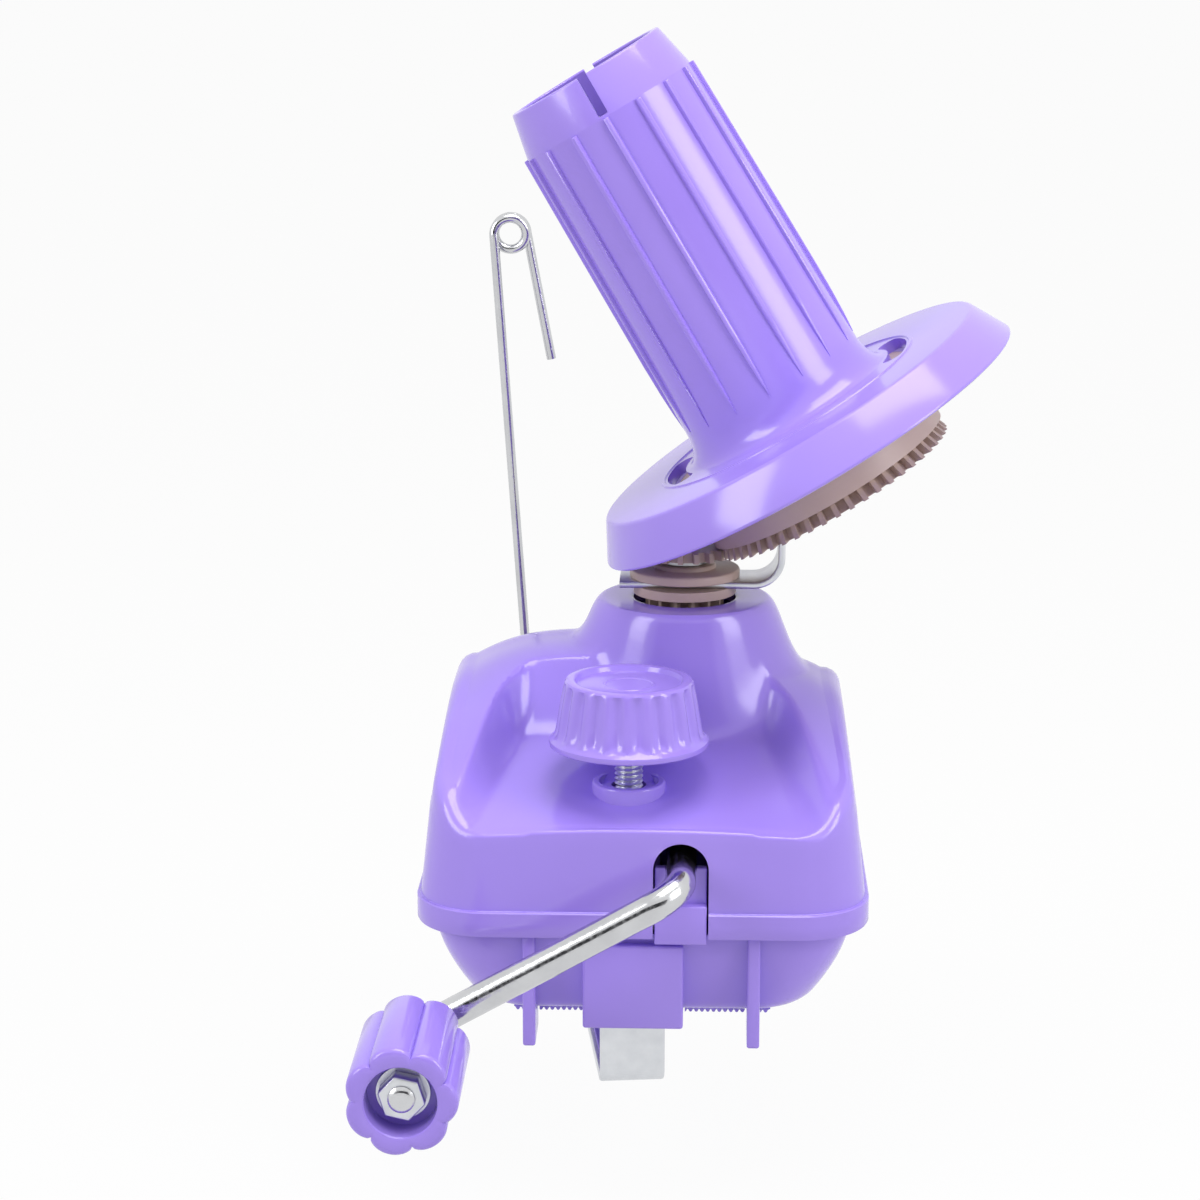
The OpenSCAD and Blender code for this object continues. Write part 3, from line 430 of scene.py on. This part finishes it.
def turned(name, profile, steps=128):
    bpy.ops.object.select_all(action="DESELECT")
    bpy.ops.mesh.primitive_circle_add(vertices=len(profile), radius=1)
    piece = bpy.context.object
    piece.name = piece.data.name = name
    for corner, (r, z) in zip(piece.data.vertices, profile):
        corner.co = (r * MM, 0, z * MM)
    bpy.ops.object.mode_set(mode="EDIT")
    bpy.ops.mesh.select_all(action="SELECT")
    bpy.ops.mesh.spin(steps=steps, angle=2 * math.pi, center=(0, 0, 0), axis=(0, 0, 1))
    bpy.ops.object.mode_set(mode="OBJECT")
    return close_up(piece)


plan = outline(body_half, body_half, body_corner)
edge = [settle(x, y) for x, y in plan]
ways = [math.atan2(y - neck_y, x - neck_x) for x, y, _ in edge]


def neck_ring(r, drop):
    points = [(neck_x + r * math.cos(a), neck_y + r * math.sin(a)) for a in ways]
    return [(x, y, cover_height(x, y) - drop) for x, y in points]


def panel_ring(t, inset, drop):
    ring = []
    for a, (x, y, _) in zip(ways, edge):
        x0, y0 = neck_x + 26.5 * math.cos(a), neck_y + 26.5 * math.sin(a)
        reach = math.hypot(x - x0, y - y0)
        f = t * (reach - inset(x, y)) / reach
        ring.append((x0 + (x - x0) * f, y0 + (y - y0) * f))
    return [(x, y, cover_height(x, y) - drop) for x, y in ring]


def edge_round(x, y):
    front = min(max((-36 - y) / 8, 0), 1) * min(max((42 - abs(x)) / 10, 0), 1)
    return 4.6 - 3.7 * front


rings = [neck_ring(11.0, 0.6), neck_ring(11.15, 0.15)]
rings += [neck_ring(r, 0) for r in (
    11.5, 12.3, 13.5, 15, 16.2, 17, 17.5, 18, 18.5, 19, 19.5, 20, 20.6, 21.3, 22, 22.8, 23.7, 24.6, 25.5)]
rings += [panel_ring(k / 44, edge_round, 0) for k in range(45)]
for turn in (18, 36, 54, 72, 90):
    a = math.radians(turn)
    ring = []
    for way, (x, y, _) in zip(ways, edge):
        r = edge_round(x, y)
        back = r * (1 - math.sin(a))
        top = cover_height(x - r * math.cos(way), y - r * math.sin(way))
        ring.append((x - back * math.cos(way), y - back * math.sin(way), top - r * (1 - math.cos(a))))
    rings.append(ring)
shoulder_line = rings[-1]
for k in range(1, 9):
    heights = [top[2] + (25.9 - top[2]) * k / 8 for top in shoulder_line]
    rings.append([(lean(x, z), y, z) for (x, y), z in zip(plan, heights)])
for grow, z in (
    (0, band_top), (0.1, 25.42), (0.55, 25.4), (0.8, 25.15), (0.8, 23), (0.8, 20.5),
    (0.6, 20.1), (0.3, rim), (-4.6, rim),
):
    rings.append(level(body_half + grow, body_half + grow, body_corner + grow, z))
shrink = 2.2 / body_half
for f in (0.3, 0.65, 1):
    heights = [rim + (top[2] - 4.6 - rim) * f for top in shoulder_line]
    rings.append([(lean(x, z) - shrink * x, y - shrink * y, z) for (x, y), z in zip(plan, heights)])
rings += [panel_ring(k / 16, lambda x, y: 4, wall) for k in range(16, -1, -1)]
rings += [neck_ring(r, wall) for r in (23.5, 21, 19.5, 18, 15, 11)]
rings.append(rings[0])
upper_cover = skin("cover_moulding", rings)
slot_half = 5.65
carve(upper_cover, block("crank_slot", (crank_x - slot_half, -50, 15), (crank_x + slot_half, -41, crank_z), 0.02))
carve(upper_cover, round_bar("crank_arch", (crank_x, -50, crank_z), (crank_x, -41, crank_z), slot_half, 64))
boss = turned("screw_boss", rounded([
    (3.4, 43, 0), (7.6, 43, 0), (7.6, 48.5, 0.5), (6.2, 48.5, 0.3), (5.6, 47.6, 0.3), (3.4, 47.6, 0),
]), 64)
boss.data.transform(at_clamp)
carve(upper_cover, boss, "UNION")
carve(upper_cover, round_bar("screw_way", (screw_x, screw_y, 38), (screw_x, screw_y, 60), 3.6))
close_up(upper_cover)
fit(upper_cover, moulded_abs, "purple_abs", "housing", "upper_cover")
dress(moulded_abs, "guide_bush")

# Crank: a 6.2 mm steel bar bent twice to a crank and bright plated, with the moulded face gear pinned on its
# inner end. The saddles of the base hold its shaft, and a clip behind the front wall stops it sliding out.

# Bright plating on drawn bar: nearly a mirror, hazed in patches of about 8 mm, with specks of about 0.9 mm, drawn
# coarser than the real ones, where the plating is thin and dull.
bright_plate, tree, place = blank_finish("bright_plate")
haze = add(tree, "TexNoise", {}, {"Vector": place, "Scale": 1 / 0.008, "Detail": 4.0}).outputs["Fac"]
tint = add(tree, "Mix", {"data_type": "RGBA"}, {0: haze, 6: linear("#B9BABD"), 7: linear("#D9DADC")})
specks = add(tree, "TexNoise", {}, {"Vector": place, "Scale": 1 / 0.0009, "Detail": 3.0}).outputs["Fac"]
rough = add(tree, "MapRange", {}, {
    "Value": specks, "From Min": 0.35, "From Max": 0.7, "To Min": 0.10, "To Max": 0.26,
}).outputs[0]
draw = add(tree, "Bump", {}, {"Height": specks, "Strength": 0.12, "Distance": 0.00006}).outputs[0]
metal = add(tree, "BsdfPrincipled", {}, {
    "Base Color": tint.outputs[2], "Metallic": 1.0, "Roughness": rough, "Normal": draw,
})
add(tree, "OutputMaterial", {}, {"Surface": metal.outputs[0]})


def bend(path, radius, steps=12):
    points = [Vector(path[0])]
    for before, here, after in zip(path, path[1:], path[2:]):
        before, here, after = Vector(before), Vector(here), Vector(after)
        a, b = (before - here).normalized(), (after - here).normalized()
        half = a.angle(b) / 2
        middle = here + (a + b).normalized() * (radius / math.sin(half))
        cut = radius / math.tan(half)
        start, end = here + a * cut - middle, here + b * cut - middle
        turn = start.angle(end)
        for k in range(steps + 1):
            t = k / steps
            points.append(middle + (start * math.sin((1 - t) * turn) + end * math.sin(t * turn)) / math.sin(turn))
    return points + [Vector(path[-1])]


def drawn(name, points, section, side):
    rings = []
    for k, point in enumerate(points):
        ahead = (points[min(k + 1, len(points) - 1)] - points[max(k - 1, 0)]).normalized()
        up = ahead.cross(Vector(side)).normalized()
        across = up.cross(ahead)
        shape = section(k) if callable(section) else section
        rings.append([tuple(point + across * a + up * b) for a, b in shape])
    rings.insert(0, [tuple(points[0])] * len(rings[0]))
    rings.append([tuple(points[-1])] * len(rings[0]))
    return skin(name, rings)


def round_section(radius, sides=28):
    angles = [2 * math.pi * k / sides for k in range(sides)]
    return [(radius * math.cos(a), radius * math.sin(a)) for a in angles]


fall = math.radians(29.5)
arm = 60
bar_r, pin_r, groove = 3.1, 2.6, 0.22
pin_y, thread_y = -68, -92.2
arm_x, arm_z = -math.cos(fall), -math.sin(fall)
pin_x, pin_z = crank_x + arm * arm_x, crank_z + arm * arm_z
bar = bend([(crank_x, -3, crank_z), (crank_x, -60, crank_z), (pin_x, -60, pin_z), (pin_x, pin_y, pin_z)], 7)
along_pin = [pin_y - 0.1, thread_y] + [thread_y - 0.16 * k for k in range(26)] + [-96.4, -96.6]
bar += [Vector((pin_x, y, pin_z)) for y in along_pin]
last = len(bar) - 1


def bar_section(k):
    y = bar[k].y
    if y > pin_y - 0.05:
        return round_section(bar_r)
    if k >= last - 1:
        return round_section(pin_r - 0.5 * (k - last + 2))
    return round_section(pin_r - (groove * (k % 2) if y < thread_y - 0.05 else 0))


crank_rod = drawn("crank_bar", bar, bar_section, (arm_z, 0, -arm_x))
fit(crank_rod, bright_plate, "chromed_steel", "crank", "crank_rod")
dress(zinc_plate, "gear_pin", "shaft_clip", "handle_washer")

# Crank knob: a hollow grip of purple ABS with seven wide lobes and a round pocket for the nut. It turns freely
# on the crank's pin, under a washer and a plated hex nut with chamfered corners.
lobes = 7


def knob_ring(radius, depth, y):
    ring = []
    for k in range(24 * lobes):
        turn = 2 * math.pi * k / (24 * lobes)
        r = radius - depth * (1 - abs(math.cos(lobes / 2 * turn)) ** 0.55)
        ring.append((pin_x + r * math.cos(turn), y, pin_z + r * math.sin(turn)))
    return ring


grip = [(2.65, 0, -91.1), (7.0, 0, -91.1), (7.0, 0, -97.2), (7.2, 0, -97.5), (7.5, 0, -97.6), (9.6, 1.2, -97.6)]
grip += [(10.4, 1.5, -97.4), (10.8, 1.6, -97.0), (11.0, 1.7, -96.3), (11.0, 1.7, -82), (11.0, 1.7, -69)]
grip += [(10.8, 1.6, -68.3), (10.3, 1.4, -67.8), (9.5, 1.0, -67.6), (2.65, 0, -67.6), (2.65, 0, -91.1)]
crank_knob = skin("lobed_grip", [knob_ring(*step) for step in grip])
fit(crank_knob, moulded_abs, "purple_abs", "handle", "crank_knob")

bpy.ops.object.select_all(action="DESELECT")
bpy.ops.mesh.primitive_cylinder_add(vertices=6, radius=4.7 * MM, depth=3.5 * MM, location=(0, 0, 0))
handle_nut = bpy.context.object
handle_nut.name = "hex_nut"
bpy.ops.object.mode_set(mode="EDIT")
bpy.ops.mesh.select_all(action="SELECT")
bpy.ops.mesh.bevel(offset=0.35 * MM, segments=3, affect="EDGES")
bpy.ops.object.mode_set(mode="OBJECT")
nut_place = Matrix.Translation((pin_x * MM, -93.8 * MM, pin_z * MM))
handle_nut.data.transform(nut_place @ Matrix.Rotation(math.pi / 2, 4, "X") @ Matrix.Rotation(0.3, 4, "Z"))
carve(handle_nut, round_bar("nut_bore", (pin_x, -99, pin_z), (pin_x, -88, pin_z), 2.62))
close_up(handle_nut, 40)
fit(handle_nut, zinc_plate, "plated_steel", "crank", "handle_nut")

# Gear train and collar: moulded nylon, left in its natural beige. The face gear, the long pinion with its disc,
# the fixed sun gear and the cap that clamps the bracket all run on the centre post, under a spring clip.

# Moulded nylon: satin beige with faint flow clouds about 12 mm wide, and the grain of an etched mould of about
# 0.7 mm, drawn coarser than the real one, which spreads the highlights.
moulded_nylon, tree, place = blank_finish("moulded_nylon")
flow = add(tree, "TexNoise", {}, {"Vector": place, "Scale": 1 / 0.012, "Detail": 3.0}).outputs["Fac"]
tint = add(tree, "Mix", {"data_type": "RGBA"}, {0: flow, 6: linear("#AE968F"), 7: linear("#C2ACA3")})
grain = add(tree, "TexNoise", {}, {"Vector": place, "Scale": 1 / 0.0007, "Detail": 2.0}).outputs["Fac"]
rough = add(tree, "MapRange", {}, {"Value": grain, "To Min": 0.36, "To Max": 0.5}).outputs[0]
etch = add(tree, "Bump", {}, {"Height": grain, "Strength": 0.2, "Distance": 0.00008}).outputs[0]
shell = add(tree, "BsdfPrincipled", {}, {
    "Base Color": tint.outputs[2], "Roughness": rough, "Normal": etch, "IOR": 1.53,
})
add(tree, "OutputMaterial", {}, {"Surface": shell.outputs[0]})

collar_cap = turned("collar_disc", rounded([
    (3.05, 82.7, 0), (11.9, 82.7, 0.3), (11.9, 84.7, 0.5), (6.7, 84.7, 0.2), (6.7, 85.7, 0.4), (3.05, 85.7, 0.2),
]), 96)
collar_cap.data.transform(Matrix.Translation((neck_x * MM, neck_y * MM, 0)))
fit(collar_cap, moulded_nylon, "beige_nylon", "rotor", "collar_cap")
dress(moulded_nylon, "drive_gear", "pinion", "sun_gear", "dish_gear")
dress(zinc_plate, "post_clip")

# Bracket: a 13 mm strip of 1.5 mm steel, bent up in two places and zinc plated, clamped between the pinion's
# disc and the cap. Its leaning end carries the stud that the spool turns on.
riser_x, riser_z = 28.85, 89


def strip_section(width, thick, r=0.45, steps=3):
    points = []
    for q, (sx, sy) in enumerate(((1, 1), (-1, 1), (-1, -1), (1, -1))):
        for k in range(steps + 1):
            a = math.radians(90 * (q + k / steps))
            points.append((sx * (width / 2 - r) + r * math.cos(a), sy * (thick / 2 - r) + r * math.sin(a)))
    return points


strip = bend([(-6, neck_y, 81.95), (riser_x, neck_y, 81.95), (riser_x, neck_y, riser_z)], 6)[:-1]
strip += bend([(riser_x, neck_y, riser_z), (riser_x, neck_y, 94.65), (46.04, neck_y, 104.98)], 3)
bracket = drawn("spool_bracket", strip, strip_section(13, 1.5), (0, 1, 0))
fit(bracket, zinc_plate, "plated_steel", "rotor", "bracket")
dress(zinc_plate, "spool_stud", "stud_washer", "spool_washer", "spool_screw")

# Spool: tube, flange and skirt in one purple ABS moulding, with sixteen ribs that run out to points at the foot,
# two windows through the flange and two slots in the rim for the yarn end. It turns on the leaning stud.
cross_z, tilt = 154.7, math.radians(31)
tube_r, flange_z, rib_top, rib_foot = 20.8, -41.7, 32.3, -34
rib_count = 16
window_r, window_end = 27.2, 25
spool_line = Matrix.Translation((neck_x * MM, neck_y * MM, cross_z * MM)) @ Matrix.Rotation(-tilt, 4, "Y")
flare = []
for angle in range(0, 91, 10):
    a = math.radians(angle)
    flare.append((tube_r + 3.5 * (1 - math.sin(a)), flange_z + 7 * (1 - math.cos(a)), 0))
spool = turned("ribbed_spool", rounded(
    [(3.05, -44.1, 0), (44.0, -44.1, 0.8), (48.5, -50.7, 0.3), (50.0, -50.7, 0.5), (45.0, flange_z, 1.2)]
    + [(31.0, flange_z, 0), (30.8, -41.42, 0.1), (30.2, -41.42, 0.1), (30.0, flange_z, 0)]
    + flare
    + [(19.8, 32.5, 1.5), (17.75, 42.0, 0.5), (15.95, 42.0, 0.4), (18.0, 31.5, 1.5)]
    + [(19.0, -32.7, 0), (19.0, flange_z, 0)]
    + [(5.5, flange_z, 0), (5.5, -13.5, 0.3), (3.05, -13.5, 0)]
), 144)


def rib_ring(z, proud, half):
    r = tube_r - 0.9 * (z + 34.7) / 61.7
    return [
        (r - 0.7, half, z), (r + 0.1, half, z), (r + proud * 0.8, half * 0.75, z), (r + proud, half * 0.35, z),
        (r + proud, -half * 0.35, z), (r + proud * 0.8, -half * 0.75, z), (r + 0.1, -half, z), (r - 0.7, -half, z),
    ]


steps = [
    (rib_top, 0.75, 0.62), (rib_top - 0.2, 0.88, 0.68), (0, 0.88, 0.68), (-18, 0.85, 0.66),
    (-25, 0.7, 0.55), (-30, 0.45, 0.38), (rib_foot, 0.1, 0.12),
]
rib = skin("rib", [[(20.0, 0, rib_top)] * 8] + [rib_ring(*step) for step in steps] + [[(20.0, 0, rib_foot)] * 8])
copies = [rib]
for k in range(1, rib_count):
    copies.append(rib.copy())
    copies[-1].data = rib.data.copy()
    bpy.context.collection.objects.link(copies[-1])
for k, piece in enumerate(copies):
    piece.data.transform(Matrix.Rotation(2 * math.pi * k / rib_count, 4, "Z"))
bpy.ops.object.select_all(action="DESELECT")
for piece in copies:
    piece.select_set(True)
bpy.context.view_layer.objects.active = rib
bpy.ops.object.join()
carve(spool, rib, "UNION")
for side in (0, math.pi):
    window = []
    for k in range(-window_end, window_end + 1):
        end = max(0, abs(k) - 20.2) / 4.85
        half = 2.3 * math.sqrt(max(0.0004, 1 - end * end))
        a = side + math.radians(k)
        inner, outer = window_r - half, window_r + half
        section = ((inner, -40), (outer, -40), (outer, -46), (inner, -46))
        window.append([(r * math.cos(a), r * math.sin(a), z) for r, z in section])
    window.insert(0, [window[0][0]] * 4)
    window.append([window[-1][0]] * 4)
    carve(spool, skin("window", window))
carve(spool, block("yarn_slot", (-1.1, -25, 33), (1.1, 25, 46), 0.3))
spool.data.transform(spool_line)
close_up(spool)
fit(spool, moulded_abs, "purple_abs", "spool_unit", "spool")

# Clamp: a strip of plated steel bent to a J hangs on the screw inside the column, its foot under the table with
# a rubber pad on it. The screw is M6, threaded through the fixed nut and moulded into the fluted knob on top.
hook_y, hook_top, hook_foot = -8.7, 14.9, -13.9
hook = bend([(0, 7, hook_top), (0, hook_y, hook_top), (0, hook_y, hook_foot), (0, 30.4, hook_foot)], 2.4)
clamp_jaw = drawn("clamp_hook", hook, strip_section(13.5, 1.8, 0.5), (1, 0, 0))
clamp_jaw.data.transform(at_clamp @ Matrix.Rotation(jaw_turn, 4, "Z"))
fit(clamp_jaw, zinc_plate, "plated_steel", "jaw", "clamp_jaw")


def screw_ring(radius, z, thread=0):
    ring = []
    for k in range(24):
        a = 2 * math.pi * k / 24
        wave = abs(((z - k / 24) % 1) * 2 - 1)
        r = radius - thread * wave
        ring.append((r * math.cos(a), r * math.sin(a), z))
    return ring


shank = [screw_ring(0, 11.4), screw_ring(1.6, 11.4), screw_ring(2, 11.8), screw_ring(2, 15.9)]
shank += [screw_ring(2.9, 15.9)]
shank += [screw_ring(3, 16 + k / 8, 0.45) for k in range(8 * 40)]
shank += [screw_ring(2.9, 56.2), screw_ring(2.9, 66.1), screw_ring(0, 66.1)]
clamp_screw = skin("clamp_thread", shank)
clamp_screw.data.transform(at_clamp)
fit(clamp_screw, zinc_plate, "plated_steel", "clamp", "clamp_screw")
dress(zinc_plate, "screw_clip")


flutes = 20


def fluted_ring(radius, depth, z):
    ring = []
    for k in range(12 * flutes):
        a = 2 * math.pi * k / (12 * flutes)
        r = radius - depth * (0.5 - 0.5 * math.cos(flutes * a)) ** 1.4
        ring.append((r * math.cos(a), r * math.sin(a), z))
    return ring


cap = [(0, 0, 66.2), (3.05, 0, 66.2), (3.05, 0, 57.2), (13.5, 0, 57.2), (14.6, 0, 56.5), (15.2, 0, 56.2)]
cap += [(16.0, 0, 56.2), (16.4, 0, 56.45), (16.5, 0, 56.9), (16.4, 0, 57.5), (15.9, 0, 57.9), (15.5, 0.1, 58.2)]
cap += [(15.25, 0.5, 58.9), (15.0, 0.75, 60), (14.5, 0.75, 63), (14.0, 0.75, 66), (13.5, 0.7, 68.4)]
cap += [(13.35, 0.35, 69.1), (13.2, 0, 69.6), (12.9, 0, 70.0), (12.3, 0, 70.2), (11.5, 0, 70.2), (11.1, 0, 70.0)]
cap += [(10.9, 0, 69.5), (10.7, 0, 69.1), (10.3, 0, 68.95), (5.4, 0, 68.95), (5.2, 0, 69.08), (4.9, 0, 69.08)]
cap += [(4.7, 0, 68.95), (0, 0, 68.95)]
clamp_knob = skin("fluted_knob", [fluted_ring(*step) for step in cap])
clamp_knob.data.transform(at_clamp)
fit(clamp_knob, moulded_abs, "purple_abs", "clamp", "clamp_knob")

# Yarn guide: a 2.2 mm plated spring wire, its foot pushed into a bush in the cover's back, bent upright and wound
# one and a half times into an eye, with a straight tail that the yarn is slipped over.
sway, tail_lean = math.radians(4), math.radians(6.7)
pivot_x, leg_y, pivot_z = -29, 75, 30
eye_r, eye_z, eye_turn, eye_steps = 3.7, 119.5, 533.3, 72
tail = 31


def from_pivot(x, y, z):
    across, up = x * math.cos(sway) - z * math.sin(sway), x * math.sin(sway) + z * math.cos(sway)
    return pivot_x + across, leg_y + y, pivot_z + up


wire = bend([(pivot_x, 38, pivot_z), (pivot_x, leg_y, pivot_z), from_pivot(0, 0, 116.5)], 5)
for k in range(eye_steps + 1):
    t = k / eye_steps
    a = math.radians(180 - eye_turn * t)
    wire.append(Vector(from_pivot(eye_r * (1 + math.cos(a)), 4.18 * t, eye_z + eye_r * math.sin(a))))
lower = tail_lean + sway
wire.append(wire[-1] + Vector((math.sin(lower), 0, -math.cos(lower))) * tail)
yarn_guide = drawn("guide_wire", wire, round_section(1.1, 16), (0.6, 0.8, 0))
fit(yarn_guide, bright_plate, "chromed_steel", "guide", "yarn_guide")
